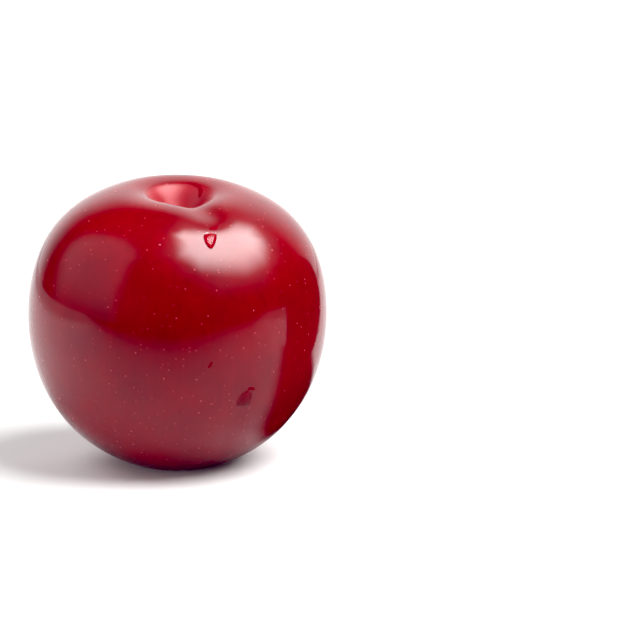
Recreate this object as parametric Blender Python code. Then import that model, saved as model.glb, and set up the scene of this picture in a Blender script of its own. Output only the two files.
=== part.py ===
"""A whole red plum, standing on the small flat spot that it has settled on.

A plum grows as one piece, so its skin and flesh are one closed solid. The form is a ball whose
surface is moved in and out along its own radii: it swells into broad shoulders, sinks into the
cavity where the stalk was, and dips along the suture, the shallow seam from stalk to tip.
"""

import math

import bmesh
import bpy
from mathutils import Matrix

# Driving dimensions, in metres and radians
MM = 0.001
BODY_RADIUS = 27.6 * MM
SHOULDER_SWELL = 2.0 * MM
SHOULDER_ANGLE = math.radians(50.0)
SHOULDER_SPREAD = math.radians(28.5)
DISH_DEPTH = 3.0 * MM
DISH_ANGLE = math.radians(16.0)
DISH_STEEPNESS = 3.0
PIT_DEPTH = 4.0 * MM
PIT_ANGLE = math.radians(10.0)
PIT_STEEPNESS = 4.0
SCAR_HEIGHT = 0.5 * MM
SCAR_ANGLE = math.radians(4.5)
SUTURE_DEPTH_AT_STALK = 1.8 * MM
SUTURE_FADE_ANGLE = math.radians(27.0)
SUTURE_DEPTH_ON_FLANK = 0.15 * MM
NECK_DEPTH = 0.9 * MM
NECK_ANGLE = math.radians(23.0)
NECK_SPREAD = math.radians(8.0)
SUTURE_WIDTH_LEFT = 4.0 * MM
SUTURE_WIDTH_RIGHT = 3.5 * MM
CHEEK_SWELL = 0.15 * MM
REST_FLATTENING = 1.3 * MM

# How the fruit stands: the suture is turned to the right of the front, and the stalk end nods forward
SUTURE_TURN = math.radians(26.0)
NOD_FORWARD = math.radians(7.0)
LEAN_RIGHT = math.radians(2.0)

# The mesh has meridians that meet at the stalk and the tip, and rings that lie closer near the stalk
MERIDIANS = 72
RINGS = 48
RING_CROWDING = 0.45
CUT_TOLERANCE = 1e-7
SHARP_EDGE = math.radians(60.0)

SKIN_RED = (0.30, 0.008, 0.016, 1.0)
SKIN_ROUGHNESS = 0.2


def bell(angle, centre, spread):
    """A smooth hump that is 1 at the centre angle and fades over the spread."""
    return math.exp(-(((angle - centre) / spread) ** 2))


def surface_radius(polar, around):
    """Distance from the fruit's middle to its skin.

    polar is the angle from the stalk end, and around is the angle from the suture.
    """
    radius = BODY_RADIUS
    radius += SHOULDER_SWELL * bell(polar, SHOULDER_ANGLE, SHOULDER_SPREAD)

    # The cavity is a broad dish with a steeper pit in its middle, where the stalk was
    radius -= DISH_DEPTH * math.exp(-((polar / DISH_ANGLE) ** DISH_STEEPNESS))
    radius -= PIT_DEPTH * math.exp(-((polar / PIT_ANGLE) ** PIT_STEEPNESS))
    radius += SCAR_HEIGHT * bell(polar, 0.0, SCAR_ANGLE)

    # The fruit is a little wider across its two cheeks than from the suture to the back
    radius -= CHEEK_SWELL * math.cos(2 * around) * math.sin(polar) ** 2

    # The left cheek falls into the suture more gently than the right one. The suture is on one
    # side of the fruit only. Its depth fades from the stalk to the flank, and it is deepest at the
    # neck, where it runs out over the rim of the cavity.
    from_suture = BODY_RADIUS * math.sin(polar) * math.sin(around)
    width = SUTURE_WIDTH_LEFT if from_suture < 0 else SUTURE_WIDTH_RIGHT
    depth = SUTURE_DEPTH_AT_STALK * bell(polar, 0.0, SUTURE_FADE_ANGLE) + SUTURE_DEPTH_ON_FLANK
    depth += NECK_DEPTH * bell(polar, NECK_ANGLE, NECK_SPREAD)
    one_side = max(0.0, math.cos(around)) * math.sqrt(math.sin(polar))
    radius -= depth * bell(from_suture, 0.0, width) * one_side
    return radius


def shape_fruit(mesh_edit):
    """Moves each vertex of the ball along its own radius onto the fruit's surface."""
    for vertex in mesh_edit.verts:
        x, y, z = vertex.co.normalized()
        even_polar = math.acos(max(-1.0, min(1.0, z)))
        polar = even_polar - RING_CROWDING * math.sin(even_polar)
        around = math.atan2(x, -y)
        radius = surface_radius(polar, around)
        vertex.co.x = radius * math.sin(polar) * math.sin(around)
        vertex.co.y = -radius * math.sin(polar) * math.cos(around)
        vertex.co.z = radius * math.cos(polar)


def flatten_rest_spot(mesh_edit):
    """Cuts the underside level, and closes it with one flat face."""
    lowest = min(vertex.co.z for vertex in mesh_edit.verts)
    level = lowest + REST_FLATTENING
    everything = mesh_edit.verts[:] + mesh_edit.edges[:] + mesh_edit.faces[:]
    cut = bmesh.ops.bisect_plane(
        mesh_edit,
        geom=everything,
        dist=CUT_TOLERANCE,
        plane_co=(0.0, 0.0, level),
        plane_no=(0.0, 0.0, -1.0),
        clear_outer=True,
    )
    rim = [item for item in cut["geom_cut"] if isinstance(item, bmesh.types.BMEdge)]
    bmesh.ops.contextual_create(mesh_edit, geom=rim)


def stand_on_origin(mesh_edit):
    """Puts the middle of the underside of the fruit's box at the origin."""
    lows = [min(vertex.co[axis] for vertex in mesh_edit.verts) for axis in range(3)]
    highs = [max(vertex.co[axis] for vertex in mesh_edit.verts) for axis in range(3)]
    middle_x = (lows[0] + highs[0]) / 2
    middle_y = (lows[1] + highs[1]) / 2
    shift = Matrix.Translation((-middle_x, -middle_y, -lows[2]))
    bmesh.ops.transform(mesh_edit, matrix=shift, verts=mesh_edit.verts)


def skin_material():
    material = bpy.data.materials.new("plum skin")
    material.use_nodes = True
    shader = material.node_tree.nodes["Principled BSDF"]
    shader.inputs["Base Color"].default_value = SKIN_RED
    shader.inputs["Metallic"].default_value = 0.0
    shader.inputs["Roughness"].default_value = SKIN_ROUGHNESS
    material.diffuse_color = SKIN_RED
    return material


def make_plum(collection):
    mesh_edit = bmesh.new()
    bmesh.ops.create_uvsphere(
        mesh_edit, u_segments=MERIDIANS, v_segments=RINGS, radius=BODY_RADIUS
    )
    # A quarter turn puts a meridian on the suture, whatever the number of meridians
    bmesh.ops.rotate(mesh_edit, matrix=Matrix.Rotation(-math.pi / 2, 3, "Z"), verts=mesh_edit.verts)
    shape_fruit(mesh_edit)

    stance = (
        Matrix.Rotation(LEAN_RIGHT, 3, "Y")
        @ Matrix.Rotation(NOD_FORWARD, 3, "X")
        @ Matrix.Rotation(SUTURE_TURN, 3, "Z")
    )
    bmesh.ops.rotate(mesh_edit, matrix=stance, verts=mesh_edit.verts)
    flatten_rest_spot(mesh_edit)
    stand_on_origin(mesh_edit)
    bmesh.ops.recalc_face_normals(mesh_edit, faces=mesh_edit.faces)

    mesh = bpy.data.meshes.new("plum")
    mesh_edit.to_mesh(mesh)
    mesh_edit.free()
    mesh.materials.append(skin_material())
    mesh.shade_smooth()
    mesh.set_sharp_from_angle(angle=SHARP_EDGE)
    plum = bpy.data.objects.new("plum", mesh)
    collection.objects.link(plum)
    return plum


for leftover in list(bpy.data.objects):
    bpy.data.objects.remove(leftover, do_unlink=True)

plum_collection = bpy.data.collections.new("Plum")
bpy.context.scene.collection.children.link(plum_collection)
make_plum(plum_collection)
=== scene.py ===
# %% [markdown]
# # A ripe red plum, wet with a few drops of water
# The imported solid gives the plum's size and place. This scene grows a finer fruit over it, and
# gives it a ripe skin, the scar of its stalk, a few drops of water and a studio to stand in.
# Loading comes first, because every piece below is measured against the solid.

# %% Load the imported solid
import math

import bmesh
import bpy
import numpy as np
from mathutils import Matrix, Vector
from mathutils.bvhtree import BVHTree
from mathutils.interpolate import poly_3d_calc


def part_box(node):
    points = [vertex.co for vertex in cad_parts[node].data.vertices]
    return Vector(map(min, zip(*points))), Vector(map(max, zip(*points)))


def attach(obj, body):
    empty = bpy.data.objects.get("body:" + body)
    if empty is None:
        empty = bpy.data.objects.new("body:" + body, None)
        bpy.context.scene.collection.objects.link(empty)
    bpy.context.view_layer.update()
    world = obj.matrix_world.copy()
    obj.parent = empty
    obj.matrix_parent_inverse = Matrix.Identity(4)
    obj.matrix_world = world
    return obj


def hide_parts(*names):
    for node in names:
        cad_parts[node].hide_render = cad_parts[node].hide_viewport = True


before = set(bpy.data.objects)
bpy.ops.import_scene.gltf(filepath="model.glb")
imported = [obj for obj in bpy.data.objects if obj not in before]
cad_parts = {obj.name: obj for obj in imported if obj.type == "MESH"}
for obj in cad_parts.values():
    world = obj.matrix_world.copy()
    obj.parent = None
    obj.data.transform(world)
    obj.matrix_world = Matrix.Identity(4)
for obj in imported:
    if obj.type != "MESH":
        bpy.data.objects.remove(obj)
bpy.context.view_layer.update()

MM = 0.001

# %% [markdown]
# ## The form of the fruit
# A plum is a ball that has grown unevenly: broad shoulders round the stalk, a dish with a steep
# pit in it where the stalk was, and the suture, a shallow seam down one side. It could be
# sculpted by hand, but one formula for the distance from the fruit's middle to its skin repeats
# the solid exactly, and it can be sampled as finely as the eye needs. Polar angles start at the
# stalk end, and angles around the fruit start at the suture.

# %% Sizes of the fruit
BODY_RADIUS = 27.6 * MM
SHOULDER_SWELL = 2.0 * MM
SHOULDER_ANGLE = math.radians(50.0)
SHOULDER_SPREAD = math.radians(28.5)
DISH_DEPTH = 3.0 * MM
DISH_ANGLE = math.radians(16.0)
DISH_STEEPNESS = 3.0
PIT_DEPTH = 4.0 * MM
PIT_ANGLE = math.radians(10.0)
PIT_STEEPNESS = 4.0
SUTURE_DEPTH_AT_STALK = 1.8 * MM
SUTURE_FADE_ANGLE = math.radians(27.0)
SUTURE_DEPTH_ON_FLANK = 0.15 * MM
NECK_DEPTH = 0.9 * MM
NECK_ANGLE = math.radians(23.0)
NECK_SPREAD = math.radians(8.0)
SUTURE_WIDTH_LEFT = 4.0 * MM
SUTURE_WIDTH_RIGHT = 3.5 * MM
CHEEK_SWELL = 0.15 * MM


def bell(angle, centre, spread):
    """A smooth hump that is 1 at the centre and fades over the spread."""
    return np.exp(-(((angle - centre) / spread) ** 2))


def grown_radius(polar, around):
    """Distance from the fruit's middle to its skin, before its small unevenness."""
    radius = BODY_RADIUS + SHOULDER_SWELL * bell(polar, SHOULDER_ANGLE, SHOULDER_SPREAD)
    radius = radius - DISH_DEPTH * np.exp(-((polar / DISH_ANGLE) ** DISH_STEEPNESS))
    radius = radius - PIT_DEPTH * np.exp(-((polar / PIT_ANGLE) ** PIT_STEEPNESS))
    radius = radius - CHEEK_SWELL * np.cos(2 * around) * np.sin(polar) ** 2
    from_suture = BODY_RADIUS * np.sin(polar) * np.sin(around)
    width = np.where(from_suture < 0, SUTURE_WIDTH_LEFT, SUTURE_WIDTH_RIGHT)
    depth = SUTURE_DEPTH_AT_STALK * bell(polar, 0.0, SUTURE_FADE_ANGLE) + SUTURE_DEPTH_ON_FLANK
    depth = depth + NECK_DEPTH * bell(polar, NECK_ANGLE, NECK_SPREAD)
    one_side = np.maximum(0.0, np.cos(around)) * np.sqrt(np.sin(polar))
    return radius - depth * bell(from_suture, 0.0, width) * one_side


# %% [markdown]
# ## Small unevenness and the stalk's scar
# Real skin is never as even as a formula. Soft dents, 14 to 30 mm from one to the next and only
# hundredths of a millimetre deep, make the reflections waver. They are a sum of plane waves from
# a seeded generator, so that each run grows the same fruit. Below the flank the suture is no more
# than a fine crease. At the bottom of the cavity a corky rim stands round the place where the
# stalk broke off.

# %% Dents, crease and scar
DENT_HEIGHT = 0.022 * MM
DENT_SPACING = (14 * MM, 30 * MM)
DENT_WAVES = 14
DENT_SEED = 7
CREASE_DEPTH = 0.07 * MM
CREASE_WIDTH = 1.1 * MM
CREASE_START = math.radians(85)
CREASE_FADE_IN = math.radians(35)
SCAR_RADIUS = 1.5 * MM
SCAR_RIM_HEIGHT = 0.45 * MM
SCAR_RIM_WIDTH = 0.45 * MM


def dent_height(directions):
    """Sum of a few long waves through the fruit, read off at its surface."""
    dice = np.random.default_rng(DENT_SEED)
    height = np.zeros(directions.shape[:-1])
    for _ in range(DENT_WAVES):
        along = dice.normal(size=3)
        along /= np.linalg.norm(along)
        spacing = dice.uniform(*DENT_SPACING)
        phase = dice.uniform(0, 2 * math.pi)
        height += np.sin(2 * math.pi * BODY_RADIUS / spacing * (directions @ along) + phase)
    return DENT_HEIGHT * height / math.sqrt(DENT_WAVES / 2)


def crease_height(polar, around):
    """The fine crease of the suture, which starts at the flank and ends at the tip."""
    from_suture = BODY_RADIUS * np.sin(polar) * np.sin(around)
    below = np.clip((polar - CREASE_START) / CREASE_FADE_IN, 0, 1)
    one_side = np.maximum(0.0, np.cos(around)) * np.sin(polar)
    return -CREASE_DEPTH * below * one_side * bell(from_suture, 0.0, CREASE_WIDTH)


def scar_height(polar, around):
    """A low uneven rim of cork round the broken stalk, at the bottom of the cavity."""
    from_axis = (BODY_RADIUS - DISH_DEPTH - PIT_DEPTH) * np.sin(polar)
    wavering = SCAR_RADIUS * (1 + 0.07 * np.sin(3 * around + 1.0) + 0.04 * np.sin(7 * around))
    rim = bell(from_axis, wavering, SCAR_RIM_WIDTH) * (polar < math.pi / 2)
    return SCAR_RIM_HEIGHT * rim


# %% [markdown]
# ## The net of meridians and rings
# Meridians meet at the stalk and at the tip, and rings lie across them, closer together near the
# stalk where the form turns sharply. The fruit is then tilted as it stands: the suture is turned
# to the right of the front, and the stalk end nods forward a little.

# %% Grow the net and tilt it
MERIDIANS = 320
RINGS = 220
RING_CROWDING = 0.45
SUTURE_TURN = math.radians(26.0)
NOD_FORWARD = math.radians(7.0)
LEAN_RIGHT = math.radians(2.0)

stance = (
    Matrix.Rotation(LEAN_RIGHT, 3, "Y")
    @ Matrix.Rotation(NOD_FORWARD, 3, "X")
    @ Matrix.Rotation(SUTURE_TURN, 3, "Z")
)


def fruit_points(polar, around):
    """Points of the skin in the fruit's own axes, with the stalk up and the suture in front."""
    directions = np.stack(
        [np.sin(polar) * np.sin(around), -np.sin(polar) * np.cos(around), np.cos(polar)], axis=-1
    )
    radius = grown_radius(polar, around) + dent_height(directions)
    radius = radius + crease_height(polar, around) + scar_height(polar, around)
    return directions * radius[..., None]


even_polar = np.linspace(0, math.pi, RINGS + 1)
ring_polar = even_polar - RING_CROWDING * np.sin(even_polar)
ring_polar[-1] = math.pi
meridian_around = np.linspace(-math.pi, math.pi, MERIDIANS, endpoint=False)
inner_polar, inner_around = np.meshgrid(ring_polar[1:-1], meridian_around, indexing="ij")
poles = fruit_points(np.array([0.0, math.pi]), np.zeros(2))
inner_points = fruit_points(inner_polar, inner_around).reshape(-1, 3)
skin_points = np.vstack([poles[:1], inner_points, poles[1:]]) @ np.array(stance).T
print("points of the skin:", len(skin_points))

# %% [markdown]
# ## The resting spot
# A soft fruit settles flat where it stands. The solid is cut off level there. On the real skin
# the flat runs into the round flank without an edge, so heights below the level are eased up to
# it instead: a smooth maximum of the height and the level, which bends over a fraction of a
# millimetre.

# %% Settle the underside and stand the fruit on the solid's place
REST_FLATTENING = 1.3 * MM
REST_EASING = 0.12 * MM

level = skin_points[:, 2].min() + REST_FLATTENING
over_level = (skin_points[:, 2] - level) / REST_EASING
skin_points[:, 2] = level + REST_EASING * np.logaddexp(0.0, over_level)
skin_middle = (skin_points.min(axis=0) + skin_points.max(axis=0)) / 2
solid_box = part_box("plum")
solid_middle = (np.array(solid_box[0]) + np.array(solid_box[1])) / 2
body_middle = np.array([
    solid_middle[0] - skin_middle[0],
    solid_middle[1] - skin_middle[1],
    solid_box[0][2] - skin_points[:, 2].min(),
])
skin_points += body_middle
print("middle of the fruit, mm:", np.round(body_middle / MM, 3))


# %% [markdown]
# ## The skin as a mesh
# The net becomes four-sided faces between the rings and fans of triangles at the two ends. One
# mesh carries the whole fruit, as a plum grows in one piece.

# %% Make the mesh
def net_faces(rings, meridians):
    """Faces between neighbouring rings, and a fan at each end."""
    def index(ring, meridian):
        return 1 + ring * meridians + meridian % meridians

    faces = []
    last = 1 + rings * meridians
    for meridian in range(meridians):
        faces.append((0, index(0, meridian), index(0, meridian + 1)))
        for ring in range(rings - 1):
            faces.append((
                index(ring, meridian),
                index(ring + 1, meridian),
                index(ring + 1, meridian + 1),
                index(ring, meridian + 1),
            ))
        faces.append((last, index(rings - 1, meridian + 1), index(rings - 1, meridian)))
    return faces


def new_piece(name, points, faces, smooth=True):
    """A mesh object from points and faces, with its faces turned outward."""
    mesh = bpy.data.meshes.new(name)
    mesh.from_pydata([tuple(point) for point in points], [], faces)
    turn_outward = bmesh.new()
    turn_outward.from_mesh(mesh)
    bmesh.ops.recalc_face_normals(turn_outward, faces=turn_outward.faces)
    turn_outward.to_mesh(mesh)
    turn_outward.free()
    if smooth:
        mesh.shade_smooth()
    piece = bpy.data.objects.new(name, mesh)
    bpy.context.scene.collection.objects.link(piece)
    return piece


fruit = new_piece("plum_fruit", skin_points, net_faces(RINGS - 1, MERIDIANS))
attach(fruit, "root")
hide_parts("plum")
print("faces of the fruit:", len(fruit.data.polygons))

# %% [markdown]
# ## Colours and nodes
# Colours are noted as sRGB hex, as a colour picker shows them. The shader counts in linear
# light, so one function turns them. A second function adds one node with its settings, its
# values and its links, so that each finish below reads like a list.


# %% Helpers for the finishes
def from_hex(code):
    """Linear colour of an sRGB hex code such as #a01020."""
    channels = [int(code[place:place + 2], 16) / 255 for place in (1, 3, 5)]
    linear = [c / 12.92 if c <= 0.04045 else ((c + 0.055) / 1.055) ** 2.4 for c in channels]
    return (*linear, 1.0)


def add_node(tree, kind, settings=None, values=None, links=None):
    """Adds a node: settings are its own options, values fill its inputs, and links feed them.

    An input goes by its name, or by its number where several share one.
    """
    node = tree.nodes.new(kind)
    for name, setting in (settings or {}).items():
        setattr(node, name, setting)
    for name, value in (values or {}).items():
        node.inputs[name].default_value = value
    for name, socket in (links or {}).items():
        tree.links.new(socket, node.inputs[name])
    return node


def new_finish(name):
    """A material with its shader, and the shader's node tree."""
    material = bpy.data.materials.new(name)
    material.use_nodes = True
    return material, material.node_tree, material.node_tree.nodes["Principled BSDF"]


# %% [markdown]
# ## Plum skin
# The skin is a thin clear cuticle of plant wax over cells full of red pigment, grown and not
# made. The eye gets a hard wet gloss over a colour that is almost pure red. The wax has an IOR
# near 1.45, and a rubbed ripe fruit is nearly as smooth as lacquer. All patterns are placed in
# the fruit's own axes, which tilt with it, so that they run from the stalk to the tip.

# %% Skin: the fruit's own axes
SKIN_IOR = 1.46

skin, skin_tree, skin_shader = new_finish("ripe plum skin")
place = add_node(skin_tree, "ShaderNodeTexCoord")
own_axes = add_node(
    skin_tree, "ShaderNodeMapping",
    settings={"vector_type": "TEXTURE"},
    values={"Location": tuple(body_middle), "Rotation": tuple(stance.to_euler("XYZ"))},
    links={"Vector": place.outputs["Object"]},
)
own_parts = add_node(
    skin_tree, "ShaderNodeSeparateXYZ",
    links={"Vector": own_axes.outputs["Vector"]},
)

# %% [markdown]
# ## Skin: the ground colour
# Under the gloss the red isn't flat. Broad cloudy patches are a little darker or more crimson
# where the pigment is denser, 9 mm or so across, and fine streaks run from the stalk to the tip
# because the skin stretched that way as it grew. Both are noise: even noise for the patches, and
# noise drawn out along the fruit's axis for the streaks.

# %% Skin: patches and streaks
PATCH_SIZE = 9 * MM
PATCH_COLOURS = ("#7c0206", "#8e0306")
STREAK_WIDTH = 0.9 * MM
STREAK_STRETCH = 0.10
STREAK_CONTRAST = 0.16

patches = add_node(
    skin_tree, "ShaderNodeTexNoise",
    values={"Scale": 1 / PATCH_SIZE, "Detail": 3.0, "Roughness": 0.55},
    links={"Vector": own_axes.outputs["Vector"]},
)
ground = add_node(skin_tree, "ShaderNodeValToRGB", links={"Fac": patches.outputs["Fac"]})
for stop, position, colour in zip(ground.color_ramp.elements, (0.30, 0.70), PATCH_COLOURS):
    stop.position = position
    stop.color = from_hex(colour)
drawn_out = add_node(
    skin_tree, "ShaderNodeMapping",
    values={"Scale": (1.0, 1.0, STREAK_STRETCH)},
    links={"Vector": own_axes.outputs["Vector"]},
)
streaks = add_node(
    skin_tree, "ShaderNodeTexNoise",
    values={"Scale": 1 / STREAK_WIDTH, "Detail": 2.0, "Roughness": 0.5},
    links={"Vector": drawn_out.outputs["Vector"]},
)
streak_strength = add_node(
    skin_tree, "ShaderNodeMapRange",
    values={"From Min": 0.5, "From Max": 0.75, "To Min": 0.0, "To Max": STREAK_CONTRAST},
    links={"Value": streaks.outputs["Fac"]},
)
streaked = add_node(
    skin_tree, "ShaderNodeMix",
    settings={"data_type": "RGBA"},
    values={"B": from_hex("#520206")},
    links={"Factor": streak_strength.outputs["Result"], "A": ground.outputs["Color"]},
)

# %% [markdown]
# ## Skin: lenticels
# Plum skin breathes through lenticels, pale corky dots up to half a millimetre wide. Cells of a
# Voronoi texture have one seed point each, and where such a point lies close to the surface it
# shows as a dot. The seeds lie at random depths, so the dots come out in all sizes. A random
# number for each cell leaves some of them out and makes others faint, more on the shoulders than
# near the tip, where lenticels crowd together.

# %% Skin: dots
LENTICEL_SPACING = 1.1 * MM
LENTICEL_RADIUS = 0.25 * MM
LENTICEL_CONTRAST = 0.9
CROWDED_HEIGHT = -16 * MM
SPARSE_HEIGHT = 14 * MM
LEFT_OUT_WHERE_CROWDED = 0.05
LEFT_OUT_WHERE_SPARSE = 0.57

dot_cells = add_node(
    skin_tree, "ShaderNodeTexVoronoi",
    values={"Scale": 1 / LENTICEL_SPACING, "Randomness": 1.0},
    links={"Vector": own_axes.outputs["Vector"]},
)
dot_edge = add_node(
    skin_tree, "ShaderNodeMapRange",
    settings={"interpolation_type": "SMOOTHSTEP"},
    values={
        "From Min": LENTICEL_RADIUS / LENTICEL_SPACING,
        "From Max": 0.5 * LENTICEL_RADIUS / LENTICEL_SPACING,
    },
    links={"Value": dot_cells.outputs["Distance"]},
)
dot_luck = add_node(
    skin_tree, "ShaderNodeSeparateColor",
    links={"Color": dot_cells.outputs["Color"]},
)
dot_limit = add_node(
    skin_tree, "ShaderNodeMapRange",
    values={
        "From Min": CROWDED_HEIGHT,
        "From Max": SPARSE_HEIGHT,
        "To Min": LEFT_OUT_WHERE_CROWDED,
        "To Max": LEFT_OUT_WHERE_SPARSE,
    },
    links={"Value": own_parts.outputs["Z"]},
)
dot_strength = add_node(
    skin_tree, "ShaderNodeMapRange",
    values={"From Max": 1.0, "To Min": 0.0, "To Max": LENTICEL_CONTRAST},
    links={"Value": dot_luck.outputs["Red"], "From Min": dot_limit.outputs["Result"]},
)
dots = add_node(
    skin_tree, "ShaderNodeMath",
    settings={"operation": "MULTIPLY"},
    links={0: dot_edge.outputs["Result"], 1: dot_strength.outputs["Result"]},
)
dotted = add_node(
    skin_tree, "ShaderNodeMix",
    settings={"data_type": "RGBA"},
    values={"B": from_hex("#bc3c42")},
    links={"Factor": dots.outputs["Value"], "A": streaked.outputs["Result"]},
)

# %% [markdown]
# ## Skin: inside the cavity
# Round the stalk the skin had little sun and nothing rubbed it, so it is a paler red there and
# its wax is dull. A mask made from the distance to the fruit's axis, only on the stalk's side of
# the fruit, fades this in from the rim of the cavity to its wall.

# %% Skin: cavity mask and colour
CAVITY_RIM_RADIUS = 7.6 * MM
CAVITY_WALL_RADIUS = 5.2 * MM

to_axis = add_node(
    skin_tree, "ShaderNodeCombineXYZ",
    links={"X": own_parts.outputs["X"], "Y": own_parts.outputs["Y"]},
)
axis_distance = add_node(
    skin_tree, "ShaderNodeVectorMath",
    settings={"operation": "LENGTH"},
    links={"Vector": to_axis.outputs["Vector"]},
)
stalk_side = add_node(
    skin_tree, "ShaderNodeMath",
    settings={"operation": "GREATER_THAN"},
    values={1: 0.0},
    links={0: own_parts.outputs["Z"]},
)
near_axis = add_node(
    skin_tree, "ShaderNodeMapRange",
    settings={"interpolation_type": "SMOOTHSTEP"},
    values={"From Min": CAVITY_RIM_RADIUS, "From Max": CAVITY_WALL_RADIUS},
    links={"Value": axis_distance.outputs["Value"]},
)
in_cavity = add_node(
    skin_tree, "ShaderNodeMath",
    settings={"operation": "MULTIPLY"},
    links={0: near_axis.outputs["Result"], 1: stalk_side.outputs["Value"]},
)
cavity_tinted = add_node(
    skin_tree, "ShaderNodeMix",
    settings={"data_type": "RGBA"},
    values={"B": from_hex("#980e18")},
    links={"Factor": in_cavity.outputs["Value"], "A": dotted.outputs["Result"]},
)

# %% [markdown]
# ## Skin: the stalk's scar
# Where the stalk broke off, a disc of dry cork about 3 mm wide closes the fruit. It is matt, and
# its grain runs from dark brown to tan. The same distance to the axis, made ragged by a fine
# noise, cuts it out.

# %% Skin: cork
CORK_RADIUS = 1.75 * MM
CORK_GRAIN = 0.5 * MM
CORK_RAGGEDNESS = 0.7 * MM
CORK_EDGE = (0.2 * MM, 0.6 * MM)
CORK_COLOURS = ("#4a2c1c", "#a98a62")

cork_grain = add_node(
    skin_tree, "ShaderNodeTexNoise",
    values={"Scale": 1 / CORK_GRAIN, "Detail": 4.0, "Roughness": 0.6},
    links={"Vector": own_axes.outputs["Vector"]},
)
ragged_distance = add_node(
    skin_tree, "ShaderNodeMath",
    settings={"operation": "MULTIPLY_ADD"},
    values={1: CORK_RAGGEDNESS},
    links={0: cork_grain.outputs["Fac"], 2: axis_distance.outputs["Value"]},
)
cork_disc = add_node(
    skin_tree, "ShaderNodeMapRange",
    settings={"interpolation_type": "SMOOTHSTEP"},
    values={"From Min": CORK_RADIUS + CORK_EDGE[1], "From Max": CORK_RADIUS + CORK_EDGE[0]},
    links={"Value": ragged_distance.outputs["Value"]},
)
cork = add_node(
    skin_tree, "ShaderNodeMath",
    settings={"operation": "MULTIPLY"},
    links={0: cork_disc.outputs["Result"], 1: stalk_side.outputs["Value"]},
)
cork_colour = add_node(skin_tree, "ShaderNodeValToRGB", links={"Fac": cork_grain.outputs["Fac"]})
for stop, position, colour in zip(cork_colour.color_ramp.elements, (0.35, 0.65), CORK_COLOURS):
    stop.position = position
    stop.color = from_hex(colour)
corked = add_node(
    skin_tree, "ShaderNodeMix",
    settings={"data_type": "RGBA"},
    links={
        "Factor": cork.outputs["Value"],
        "A": cavity_tinted.outputs["Result"],
        "B": cork_colour.outputs["Color"],
    },
)
skin_tree.links.new(corked.outputs["Result"], skin_shader.inputs["Base Color"])

# %% [markdown]
# ## Skin: gloss and relief
# The wax is a little duller in clouds, lenticels are duller still, and cork is matt. A weak and
# much duller second gloss gives each highlight its faint haze. The relief is tiny: the dots stand
# two hundredths of a millimetre proud, and the cork is rougher. Light also enters the flesh and
# comes out again a little way off, red and softened.

# %% Skin: roughness, bump and the light inside
SKIN_ROUGHNESS = (0.07, 0.12)
DOT_DULLNESS = 0.25
CAVITY_ROUGHNESS = 0.42
CORK_ROUGHNESS = 0.85
DOT_RELIEF = 0.02 * MM
CORK_RELIEF_IN_DOTS = 10.0

wax = add_node(
    skin_tree, "ShaderNodeMapRange",
    values={
        "From Min": 0.35,
        "From Max": 0.65,
        "To Min": SKIN_ROUGHNESS[0],
        "To Max": SKIN_ROUGHNESS[1],
    },
    links={"Value": patches.outputs["Fac"]},
)
dull_dots = add_node(
    skin_tree, "ShaderNodeMath",
    settings={"operation": "MULTIPLY_ADD"},
    values={1: DOT_DULLNESS},
    links={0: dots.outputs["Value"], 2: wax.outputs["Result"]},
)
dull_cavity = add_node(
    skin_tree, "ShaderNodeMix",
    values={"B": CAVITY_ROUGHNESS},
    links={"Factor": in_cavity.outputs["Value"], "A": dull_dots.outputs["Value"]},
)
dull_cork = add_node(
    skin_tree, "ShaderNodeMix",
    values={"B": CORK_ROUGHNESS},
    links={"Factor": cork.outputs["Value"], "A": dull_cavity.outputs["Result"]},
)
skin_tree.links.new(dull_cork.outputs["Result"], skin_shader.inputs["Roughness"])
cork_relief = add_node(
    skin_tree, "ShaderNodeMath",
    settings={"operation": "MULTIPLY"},
    links={0: cork_grain.outputs["Fac"], 1: cork.outputs["Value"]},
)
relief = add_node(
    skin_tree, "ShaderNodeMath",
    settings={"operation": "MULTIPLY_ADD"},
    values={1: CORK_RELIEF_IN_DOTS},
    links={0: cork_relief.outputs["Value"], 2: dots.outputs["Value"]},
)
bump = add_node(
    skin_tree, "ShaderNodeBump",
    values={"Strength": 1.0, "Distance": DOT_RELIEF},
    links={"Height": relief.outputs["Value"]},
)
skin_tree.links.new(bump.outputs["Normal"], skin_shader.inputs["Normal"])
skin_shader.inputs["IOR"].default_value = SKIN_IOR
skin_shader.inputs["Coat Weight"].default_value = 0.1
skin_shader.inputs["Coat Roughness"].default_value = 0.38
skin_shader.inputs["Coat IOR"].default_value = SKIN_IOR
skin_shader.inputs["Subsurface Weight"].default_value = 0.15
skin_shader.inputs["Subsurface Radius"].default_value = (1.0, 0.10, 0.06)
skin_shader.inputs["Subsurface Scale"].default_value = 2.5 * MM
fruit.data.materials.append(skin)

# %% [markdown]
# ## The camera
# A fruit this small is photographed from about 60 cm with a long lens, which keeps it free of
# bulging. The camera looks down 12 degrees, and the fruit stands left of the middle of the
# picture, so the aim lies to the right of the fruit.

# %% Set up the camera
PICTURE_SIZE = 640
FRUIT_IN_PICTURE = (177.6, 324.0)
PIXEL_ON_FRUIT = 0.188 * MM
CAMERA_DISTANCE = 600 * MM
CAMERA_ELEVATION = math.radians(12.0)
SENSOR_WIDTH = 36.0

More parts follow.
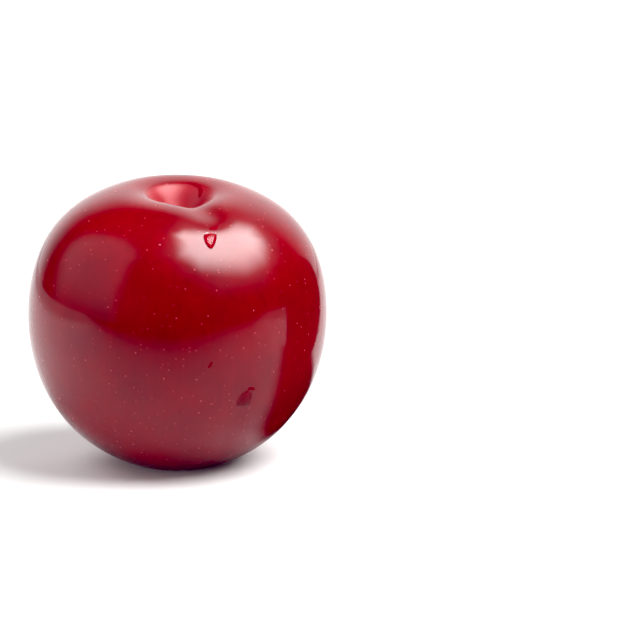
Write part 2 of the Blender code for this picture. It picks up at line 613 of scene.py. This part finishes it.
camera = bpy.data.objects.new("camera", bpy.data.cameras.new("camera"))
bpy.context.scene.collection.objects.link(camera)
bpy.context.scene.camera = camera
look = Vector((0.0, math.cos(CAMERA_ELEVATION), -math.sin(CAMERA_ELEVATION)))
camera_up = Vector((0.0, math.sin(CAMERA_ELEVATION), math.cos(CAMERA_ELEVATION)))
camera_right = Vector((1.0, 0.0, 0.0))
aim = Vector(body_middle)
aim += camera_right * (PICTURE_SIZE / 2 - FRUIT_IN_PICTURE[0]) * PIXEL_ON_FRUIT
aim += camera_up * (FRUIT_IN_PICTURE[1] - PICTURE_SIZE / 2) * PIXEL_ON_FRUIT
camera.location = aim - look * CAMERA_DISTANCE
camera.rotation_euler = look.to_track_quat("-Z", "Y").to_euler()
camera.data.sensor_width = SENSOR_WIDTH
camera.data.lens = SENSOR_WIDTH * CAMERA_DISTANCE / (PICTURE_SIZE * PIXEL_ON_FRUIT)
camera.data.clip_start = 0.01
print("lens, mm:", round(camera.data.lens, 1))

# %% [markdown]
# ## Drops of water
# A drop on waxy skin draws itself together into a low cushion with a steep clear edge, and on a
# slope it sags towards its lower end. Each drop is a closed shell: the cushion above, and a sole
# that follows the skin. Water takes the gloss off the skin under it, because it is nearly as dense
# as the wax, so the sole shows the skin as it looks through water: deep red without gloss. The
# outline is laid out in the camera's view and dropped onto the skin from there.

# %% Water, skin under water, and a ray from the camera onto the skin
WATER_IOR = 1.333

wet_skin, _, wet_skin_shader = new_finish("plum skin under water")
wet_skin_shader.inputs["Base Color"].default_value = from_hex("#84020b")
wet_skin_shader.inputs["Roughness"].default_value = 0.6
wet_skin_shader.inputs["Specular IOR Level"].default_value = 0.0
wet_streak, _, wet_streak_shader = new_finish("streak of water")
wet_streak_shader.inputs["Base Color"].default_value = from_hex("#80040f")
wet_streak_shader.inputs["Roughness"].default_value = 0.5
wet_streak_shader.inputs["Specular IOR Level"].default_value = 0.02

water, _, water_shader = new_finish("water")
water_shader.inputs["Base Color"].default_value = from_hex("#ffffff")
water_shader.inputs["Transmission Weight"].default_value = 1.0
water_shader.inputs["Roughness"].default_value = 0.0
water_shader.inputs["IOR"].default_value = WATER_IOR
water_shader.inputs["Specular IOR Level"].default_value = 0.9

skin_surface = BVHTree.FromPolygons(
    [vertex.co for vertex in fruit.data.vertices],
    [polygon.vertices[:] for polygon in fruit.data.polygons],
)


def skin_under(x, y):
    """The point of the skin, and its normal, that the camera sees at a place in the picture."""
    reach = SENSOR_WIDTH / camera.data.lens / PICTURE_SIZE
    ray = look + camera_right * (x - PICTURE_SIZE / 2) * reach
    ray = ray + camera_up * (PICTURE_SIZE / 2 - y) * reach
    point, _, face, _ = skin_surface.ray_cast(camera.location, ray.normalized())
    corners = [fruit.data.vertices[corner] for corner in fruit.data.polygons[face].vertices]
    shares = poly_3d_calc([corner.co for corner in corners], point)
    normal = sum((corner.normal * share for corner, share in zip(corners, shares)), Vector())
    return point, normal.normalized()


# %% [markdown]
# ## The shape of one drop
# A drop could be a squashed ball pressed into the skin, but the skin curves under it. Rings of
# points that shrink from the outline to the top of the drop follow the skin instead, and the drop
# rises from ring to ring. The rings get rounder on the way up, as the pull of the water's own
# surface makes them. A streak is too thin to stand up: it only takes the gloss off the skin.

# %% Shape of one drop
DROP_SINK = 0.03 * MM
SOLE_LIFT = 0.04 * MM
SOLE_STEEPNESS = 8
SOLE_GAP = 0.01 * MM
DROP_RINGS = 12
DROP_SPOKES = 40
RING_SPREAD = 1.5
EDGE_ROUNDINGS = 2
ROUNDINGS_PER_RING = 4
FIT_DEGREE = 3


def rounded(ring, times):
    """A ring of places, rounded off by drawing each one between its neighbours."""
    for _ in range(times):
        ring = (np.roll(ring, 1, axis=0) + 2 * ring + np.roll(ring, -1, axis=0)) / 4
    return ring


def drop_edge(outline):
    """The outline's corners joined, sampled once for each spoke and rounded off."""
    corners = np.array(outline, dtype=float)
    corner_turn = np.arange(len(corners) + 1)
    spoke_turn = np.linspace(0, len(corners), DROP_SPOKES, endpoint=False)
    closed = np.vstack([corners, corners[:1]])
    sides = [np.interp(spoke_turn, corner_turn, closed[:, axis]) for axis in range(2)]
    return rounded(np.stack(sides, axis=1), EDGE_ROUNDINGS)


def smoothed(values, x, y):
    """Values at places in the picture, replaced by the smooth surface that fits them best."""
    u, v = x - x.mean(), y - y.mean()
    powers = [(i, j) for i in range(FIT_DEGREE + 1) for j in range(FIT_DEGREE + 1 - i)]
    terms = np.stack([u**i * v**j for i, j in powers], axis=1)
    return terms @ np.linalg.lstsq(terms, values, rcond=None)[0]


def water_drop(name, outline, top, height, fullness):
    """A drop over a closed outline of places in the picture, with its highest point at top.

    fullness says how flat the drop is round its top, and how steep at its edge. A drop with no
    height is a thin streak, and has one finish all over.
    """
    edge = drop_edge(outline)
    inward = (np.arange(DROP_RINGS) / DROP_RINGS) ** RING_SPREAD
    rings = []
    for ring in range(DROP_RINGS):
        from_top = rounded(edge, ROUNDINGS_PER_RING * ring) - top
        rings.append(np.array(top) + from_top * (1 - inward[ring]))
    spots = np.vstack([*rings, [top]])
    inward = np.append(np.repeat(inward, DROP_SPOKES), 1.0)
    hits = [skin_under(x, y) for x, y in spots]
    points = np.array([point for point, _ in hits])
    normals = smoothed(np.array([normal for _, normal in hits]), *spots.T)
    even = smoothed(points, *spots.T)
    print(name, "skin evened out by, mm:", round(float(np.abs(even - points).max() / MM), 3))
    cushion = (height + SOLE_GAP) * (1 - (1 - inward) ** fullness)
    sole_lift = SOLE_LIFT - (SOLE_LIFT + DROP_SINK) * (1 - inward) ** SOLE_STEEPNESS
    tops = even + normals * (sole_lift + cushion)[:, None]
    soles = even + normals * sole_lift[:, None]
    soles[inward == 0] -= normals[inward == 0] * SOLE_GAP
    piece = new_piece(name, np.vstack([tops, soles]), drop_faces(len(tops)))
    piece.data.materials.append(water if height > 0 else wet_streak)
    piece.data.materials.append(wet_skin if height > 0 else wet_streak)
    for polygon in piece.data.polygons:
        polygon.material_index = int(min(polygon.vertices) >= len(tops))
    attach(piece, "root")
    return piece


def drop_faces(shell):
    """Faces of the dome, of the sole, and of the thin band between their edges."""
    faces = []
    for spoke in range(DROP_SPOKES):
        beside = (spoke + 1) % DROP_SPOKES
        for ring in range(DROP_RINGS - 1):
            near, far = ring * DROP_SPOKES, (ring + 1) * DROP_SPOKES
            dome = (near + spoke, near + beside, far + beside, far + spoke)
            faces.append(dome)
            faces.append(tuple(shell + dome[corner] for corner in (1, 0, 3, 2)))
        innermost = (DROP_RINGS - 1) * DROP_SPOKES
        faces.append((innermost + spoke, innermost + beside, shell - 1))
        faces.append((shell + innermost + beside, shell + innermost + spoke, 2 * shell - 1))
        faces.append((beside, spoke, shell + spoke, shell + beside))
    return faces


# %% [markdown]
# ## Where the drops lie
# One drop lies beside the suture and the other clings low on the right flank. Thin streaks of
# water lie above each of them, along the far edge of the cavity and below the suture. Outlines
# and tops are places in the picture, in pixels from its upper left corner.

# %% Place the drops
DROPS = {
    "drop_on_shoulder": {
        "outline": [
            (203, 235), (206, 232), (212, 233), (217, 232), (217, 238), (215, 245), (212, 250),
            (208, 248), (204, 242),
        ],
        "top": (208.5, 243.5), "height": 0.34 * MM, "fullness": 4.0,
    },
    "streak_above_shoulder_drop": {
        "outline": [
            (208, 231), (210, 227), (214, 226), (218, 224), (219, 228), (216, 231), (212, 230),
        ],
        "top": (213, 229), "height": 0.0, "fullness": 1.0,
    },
    "streak_in_cavity": {
        "outline": [
            (184, 182), (190, 181), (198, 182), (204, 188), (203, 194), (200, 200), (197, 198),
            (199, 193), (199, 189), (195, 185), (189, 184),
        ],
        "top": (200.5, 188), "height": 0.0, "fullness": 1.0,
    },
    "drop_on_flank": {
        "outline": [
            (235, 408), (237, 401), (239, 395), (243, 392), (247, 391), (250, 389), (253, 391),
            (252, 398), (250, 406), (245, 407), (240, 407),
        ],
        "top": (244.5, 402.5), "height": 0.17 * MM, "fullness": 4.0,
    },
    "streak_above_flank_drop": {
        "outline": [(247, 390), (248, 387), (252, 387), (256, 388), (254, 391), (250, 390)],
        "top": (251, 389), "height": 0.0, "fullness": 1.0,
    },
    "streak_below_suture": {
        "outline": [(207.5, 368), (209, 364), (212, 361), (213, 363), (211, 366), (209, 368.5)],
        "top": (210.3, 364.8), "height": 0.0, "fullness": 1.0,
    },
}
for drop_name, shape in DROPS.items():
    drop = water_drop(drop_name, **shape)
    print(drop_name, "width, mm:", round(max(drop.dimensions) / MM, 2))

# %% [markdown]
# ## The table
# The fruit stands on a white table that runs back out of sight. Matt white laminate takes soft
# shadows and a trace of the fruit's red. For every ray but the camera's own, the table's colour
# is painted darker. Towards the front and towards the sides this is a painted dark room that the
# fruit mirrors. In the gap under the fruit it is painted shade. Diffuse rays see the table darker
# too, so that less of the soft light bounces off it onto the fruit, and that is painted shade as
# well. Each of these is a loss between 0 and 1, and where they overlap the largest counts.
# Distances on the table are in metres.

# %% Make the table
TABLE_SIZE = 6.0
TABLE_LIT_TO = 0.02
TABLE_DARK_FROM = -0.175
TABLE_FRONT_SLANT = 0.3
TABLE_LOSS_EVERYWHERE = 0.16
TABLE_SIDES_LIT_TO = 0.12
TABLE_SIDES_DIM_FROM = 0.42
TABLE_LOSS_AT_SIDES = 0.6
TABLE_UNDER_FRUIT_TO = 25 * MM
TABLE_UNDER_FRUIT_FROM = 12 * MM
TABLE_PAINTED_SHADE_UNDER_FRUIT = 0.55
TABLE_LOSS_OF_BOUNCE = 0.35

table_finish, table_tree, table_shader = new_finish("matt white laminate with painted shade")
table_place = add_node(table_tree, "ShaderNodeTexCoord")
table_parts = add_node(
    table_tree, "ShaderNodeSeparateXYZ",
    links={"Vector": table_place.outputs["Object"]},
)
sideways = add_node(
    table_tree, "ShaderNodeMath",
    settings={"operation": "ABSOLUTE"},
    links={0: table_parts.outputs["X"]},
)
from_front = add_node(
    table_tree, "ShaderNodeMath",
    settings={"operation": "MULTIPLY_ADD"},
    values={1: TABLE_FRONT_SLANT},
    links={0: sideways.outputs["Value"], 2: table_parts.outputs["Y"]},
)
# Painted dark room: the table's front is darker in the fruit's reflections than the camera sees it
dark_front = add_node(
    table_tree, "ShaderNodeMapRange",
    settings={"interpolation_type": "SMOOTHSTEP"},
    values={
        "From Min": TABLE_LIT_TO,
        "From Max": TABLE_DARK_FROM,
        "To Min": TABLE_LOSS_EVERYWHERE,
    },
    links={"Value": from_front.outputs["Value"]},
)
# Painted dim room: the table's sides are darker in the fruit's reflections than the camera sees it
dim_sides = add_node(
    table_tree, "ShaderNodeMapRange",
    settings={"interpolation_type": "SMOOTHSTEP"},
    values={
        "From Min": TABLE_SIDES_LIT_TO,
        "From Max": TABLE_SIDES_DIM_FROM,
        "To Max": TABLE_LOSS_AT_SIDES,
    },
    links={"Value": sideways.outputs["Value"]},
)
from_fruit = add_node(
    table_tree, "ShaderNodeVectorMath",
    settings={"operation": "LENGTH"},
    links={"Vector": table_place.outputs["Object"]},
)
# Painted shade: the table's colour is darker close under the fruit, for every ray but the camera's
painted_shade_under_fruit = add_node(
    table_tree, "ShaderNodeMapRange",
    settings={"interpolation_type": "SMOOTHSTEP"},
    values={
        "From Min": TABLE_UNDER_FRUIT_TO,
        "From Max": TABLE_UNDER_FRUIT_FROM,
        "To Max": TABLE_PAINTED_SHADE_UNDER_FRUIT,
    },
    links={"Value": from_fruit.outputs["Value"]},
)
ray_kind = add_node(table_tree, "ShaderNodeLightPath")
# Painted shade: diffuse rays see the table darker, so less light bounces off it onto the fruit
painted_bounce_shade = add_node(
    table_tree, "ShaderNodeMath",
    settings={"operation": "MULTIPLY"},
    values={1: TABLE_LOSS_OF_BOUNCE},
    links={0: ray_kind.outputs["Is Diffuse Ray"]},
)
darkest = dark_front.outputs["Result"]
for other in (dim_sides.outputs["Result"], painted_shade_under_fruit.outputs["Result"], painted_bounce_shade.outputs["Value"]):
    larger = add_node(
        table_tree, "ShaderNodeMath",
        settings={"operation": "MAXIMUM"},
        links={0: darkest, 1: other},
    )
    darkest = larger.outputs["Value"]
# The largest loss is the painted darkening of the table's colour; the camera's own rays see none
# of it
painted_darkening = add_node(
    table_tree, "ShaderNodeMapRange",
    values={"To Max": 0.0},
    links={"Value": ray_kind.outputs["Is Camera Ray"], "To Min": darkest},
)
# The table's white, darkened by the painted shade and painted dark room for all rays but the
# camera's
table_colour_with_painted_shade = add_node(
    table_tree, "ShaderNodeMix",
    settings={"data_type": "RGBA"},
    values={"A": from_hex("#f2f2f2"), "B": from_hex("#000000")},
    links={"Factor": painted_darkening.outputs["Result"]},
)
table_tree.links.new(table_colour_with_painted_shade.outputs["Result"], table_shader.inputs["Base Color"])
table_shader.inputs["Roughness"].default_value = 0.6
table_shader.inputs["Specular IOR Level"].default_value = 0.0

half = TABLE_SIZE / 2
table_corners = [(-half, -half, 0), (half, -half, 0), (half, half, 0), (-half, half, 0)]
table = new_piece("table", table_corners, [(0, 1, 2, 3)])
table.data.materials.append(table_finish)

# %% [markdown]
# ## Cards and softboxes
# Gloss shows what stands round the fruit, so the studio is built from what the skin mirrors. Each
# card is placed by the directions in which the fruit sees its corners: azimuth 0 is towards the
# camera and 90 to the right. It is flat and clear, glows evenly inside its inner outline and
# fades out towards its outer one, so that it has no hard edge and what is behind it shines
# through. Only reflections see it, and so the soft light on the table can be set apart from it.


# %% Helpers for cards
def towards(azimuth, elevation):
    """Unit vector from the fruit; azimuth 0 is towards the camera and 90 to the right."""
    turn, rise = math.radians(azimuth), math.radians(elevation)
    flat = math.cos(rise)
    return Vector((math.sin(turn) * flat, -math.cos(turn) * flat, math.sin(rise)))


def glow_finish(name, strength):
    """Lit white cloth or card that is bright inside, and fades to clear towards its rim."""
    material = bpy.data.materials.new(name)
    material.use_nodes = True
    tree = material.node_tree
    tree.nodes.clear()
    rim = add_node(tree, "ShaderNodeAttribute", settings={"attribute_name": "inside"})
    fade = add_node(
        tree, "ShaderNodeMapRange",
        settings={"interpolation_type": "SMOOTHSTEP"},
        values={"To Max": strength},
        links={"Value": rim.outputs["Fac"]},
    )
    light = add_node(
        tree, "ShaderNodeEmission",
        values={"Color": from_hex("#ffffff")},
        links={"Strength": fade.outputs["Result"]},
    )
    clear = add_node(tree, "ShaderNodeBsdfTransparent")
    together = add_node(
        tree, "ShaderNodeAddShader",
        links={0: light.outputs["Emission"], 1: clear.outputs["BSDF"]},
    )
    add_node(tree, "ShaderNodeOutputMaterial", links={"Surface": together.outputs["Shader"]})
    return material


def bordered_faces(count):
    """One inner face, and a border of faces between an outer and an inner outline."""
    border = [(i, (i + 1) % count, count + (i + 1) % count, count + i) for i in range(count)]
    return [tuple(range(count, 2 * count)), *border]


def mark_inside(piece, count):
    """Notes 0 on a piece's outer outline and 1 on its inner one, for its finish to fade by."""
    inside = piece.data.attributes.new("inside", "FLOAT", "POINT")
    inside.data.foreach_set("value", [0.0] * count + [1.0] * count)


def card(name, facing, distance, outer, inner, strength):
    """A flat card that only reflections see, with an outer and an inner outline of directions."""
    middle = Vector(body_middle)
    normal = towards(*facing)
    points = []
    for corner in [*outer, *inner]:
        direction = towards(*corner)
        points.append(middle + direction * distance / direction.dot(normal))
    piece = new_piece(name, points, bordered_faces(len(outer)), smooth=False)
    mark_inside(piece, len(outer))
    piece.data.materials.append(glow_finish(name, strength))
    piece.visible_camera = piece.visible_diffuse = piece.visible_shadow = False
    return piece


# %% [markdown]
# ## What the skin mirrors
# A large softbox hangs over the right side of the fruit and makes the heart-shaped highlight. The
# air and cloth round it glow faintly, which softens its edge. A dim pale card stands at the left,
# and also lights the fruit softly from there. A white wall behind gives the fruit its pale rim.

# %% Place the cards
SOFTBOX_LIGHT = 12.8
HALO_LIGHT = 1.0
CARD_LIGHT = 0.86
WALL_LIGHT = 1.25

card(
    "softbox", (86, 61), 0.8,
    outer=[
        (-100, 87), (0, 60), (27, 41), (59, 28), (88, 28), (105, 34), (120, 39), (138, 45),
        (147, 56), (155, 74),
    ],
    inner=[
        (80, 85), (40, 72), (48, 65), (72, 60), (88, 56), (100, 52), (110, 52), (111, 57),
        (105, 64), (96, 75),
    ],
    strength=SOFTBOX_LIGHT,
)
card(
    "softbox_halo", (86, 60), 0.9,
    outer=[
        (-120, 80), (-34, 62), (4, 38), (36, 14), (72, 12), (102, 20), (128, 30), (150, 40),
        (172, 56), (-170, 72),
    ],
    inner=[
        (30, 80), (30, 66), (42, 54), (66, 45), (86, 43), (102, 45), (120, 50), (126, 56),
        (124, 68), (112, 80),
    ],
    strength=HALO_LIGHT,
)
pale_card = card(
    "pale_card", (-88, 30), 0.6,
    outer=[
        (-126, 40), (-112, 60), (-88, 69), (-50, 67), (-38, 58), (-38, 40), (-37, 25), (-40, 8),
        (-42, -8), (-104, -8), (-116, 8), (-125, 26),
    ],
    inner=[
        (-108, 36), (-100, 50), (-88, 57), (-66, 58), (-54, 53), (-54, 40), (-52, 33), (-55, 29),
        (-56, 27), (-92, 27), (-98, 28), (-106, 31),
    ],
    strength=CARD_LIGHT,
)
pale_card.visible_diffuse = True
card(
    "white_wall", (180, 25), 1.4,
    outer=[
        (124, -6), (124, 22), (130, 42), (150, 57), (180, 64), (-165, 60), (-140, 38), (-128, 22),
        (-124, -6),
    ],
    inner=[
        (160, 0), (160, 14), (164, 26), (170, 34), (180, 42), (-176, 36), (-168, 27), (-158, 12),
        (-152, 0),
    ],
    strength=WALL_LIGHT,
)

# %% [markdown]
# ## A dark flag and a sheet of painted shade
# Photographers put black flags beside glossy things to deepen one side. Here a round flag of
# black flock, flat in front, stands on the right. A thin dark sheet with a soft edge lies on the
# table round it and paints deep shade onto the table there. Only reflections see them, as a deep
# red band on the right flank.

# %% Dark flag and its sheet of painted shade
FLAG_RADIUS = 44 * MM
FLAG_DEPTH = 78 * MM
FLAG_MIDDLE = Vector((92 * MM, -12 * MM, 28 * MM))
FLAG_TURNS = 24
FLAG_RISES = 8
PAINTED_SHADE_HEIGHT = 0.3 * MM
PAINTED_SHADE_OUTER = [
    (15, -8), (18, -14), (25, -17), (33, -18), (42, -20), (55, -22), (100, -26), (100, 40),
    (30, 45), (16, 16),
]
PAINTED_SHADE_INNER = [
    (21, -1), (23, -5), (27, -7), (34, -8), (42, -9), (55, -10), (90, -12), (90, 30), (36, 32),
    (23, 12),
]

# The last rise stops just short of straight up, so that the points there stay apart
flag_points, flag_faces = [], []
for rise in range(-FLAG_RISES, FLAG_RISES + 1):
    for turn in range(FLAG_TURNS):
        direction = towards(360 / FLAG_TURNS * turn, 90 * rise / (FLAG_RISES + 0.001))
        reach = Vector((FLAG_RADIUS, FLAG_DEPTH if direction.y > 0 else 0.0, FLAG_RADIUS))
        flag_points.append(FLAG_MIDDLE + direction * reach)
for rise in range(2 * FLAG_RISES):
    for turn in range(FLAG_TURNS):
        here, above = rise * FLAG_TURNS, (rise + 1) * FLAG_TURNS
        beside = (turn + 1) % FLAG_TURNS
        flag_faces.append((here + turn, here + beside, above + beside, above + turn))
flag = new_piece("dark_flag", flag_points, flag_faces)
# The sheet lies just above the table: painted shade, dark and soft-edged, that only reflections
# see
painted_shade_points = [(x * MM, y * MM, PAINTED_SHADE_HEIGHT) for x, y in [*PAINTED_SHADE_OUTER, *PAINTED_SHADE_INNER]]
painted_shade_sheet = new_piece("painted_table_shade", painted_shade_points, bordered_faces(len(PAINTED_SHADE_OUTER)), smooth=False)
mark_inside(painted_shade_sheet, len(PAINTED_SHADE_OUTER))
# One black finish serves the flag and the sheet of painted shade, which fades out towards its rim
flock_and_painted_shade, flock_tree, flock_shader = new_finish("black flock and painted shade")
flock_shader.inputs["Base Color"].default_value = from_hex("#180508")
flock_shader.inputs["Specular IOR Level"].default_value = 0.0
rim = add_node(flock_tree, "ShaderNodeAttribute", settings={"attribute_name": "inside"})
fade = add_node(
    flock_tree, "ShaderNodeMapRange",
    settings={"interpolation_type": "SMOOTHSTEP"},
    links={"Value": rim.outputs["Fac"]},
)
flock_tree.links.new(fade.outputs["Result"], flock_shader.inputs["Alpha"])
flag_inside = flag.data.attributes.new("inside", "FLOAT", "POINT")
flag_inside.data.foreach_set("value", [1.0] * len(flag_points))
for dark in (flag, painted_shade_sheet):
    dark.data.materials.append(flock_and_painted_shade)
    dark.visible_camera = dark.visible_diffuse = dark.visible_shadow = False

# %% [markdown]
# ## The soft light
# The soft light on the table and in the skin's own red comes from broad panels: a key above the
# right side, where the softbox hangs, a fill above the left side, and two low ones that light the
# fruit and hardly the table. A faint even sky adds to them. All are far away, so that they light
# the whole table evenly. The sky is white where the camera sees it, and none of them shows in
# reflections.

# %% Set up the light
SKY_LIGHT = 0.2
SKY_SEEN = 1.2


def panel(name, azimuth, elevation, width, strength):
    """A broad far light, width degrees across, that gloss doesn't show."""
    light = bpy.data.objects.new(name, bpy.data.lights.new(name, "SUN"))
    bpy.context.scene.collection.objects.link(light)
    light.data.angle = math.radians(width)
    light.data.energy = strength
    light.rotation_euler = (-towards(azimuth, elevation)).to_track_quat("-Z", "Y").to_euler()
    light.visible_glossy = light.visible_camera = False


panel("key_panel", azimuth=70, elevation=54, width=45, strength=4.7)
panel("left_panel", azimuth=-100, elevation=56, width=40, strength=0.88)
panel("low_front_panel", azimuth=-35, elevation=12, width=30, strength=0.8)
panel("low_back_panel", azimuth=155, elevation=15, width=40, strength=1.2)

sky = bpy.data.worlds.new("sky")
bpy.context.scene.world = sky
sky.use_nodes = True
sky.node_tree.nodes.clear()
seen = add_node(sky.node_tree, "ShaderNodeLightPath")
sky_strength = add_node(
    sky.node_tree, "ShaderNodeMapRange",
    values={"To Min": SKY_LIGHT, "To Max": SKY_SEEN},
    links={"Value": seen.outputs["Is Camera Ray"]},
)
background = add_node(
    sky.node_tree, "ShaderNodeBackground",
    links={"Strength": sky_strength.outputs["Result"]},
)
add_node(
    sky.node_tree, "ShaderNodeOutputWorld",
    links={"Surface": background.outputs["Background"]},
)
sky.cycles_visibility.glossy = False

# %% [markdown]
# ## Picture processing
# The picture keeps plain sRGB tones. A small black level deepens the darkest greens and blues,
# as a camera's picture profile does with a saturated red, so that the skin keeps its depth.

# %% Tones
BLACK_LEVEL = (0.0, 0.016, 0.002)

picture_tones = bpy.context.scene.view_settings
picture_tones.view_transform = "Standard"
picture_tones.use_curve_mapping = True
picture_tones.curve_mapping.black_level = BLACK_LEVEL
picture_tones.curve_mapping.update()
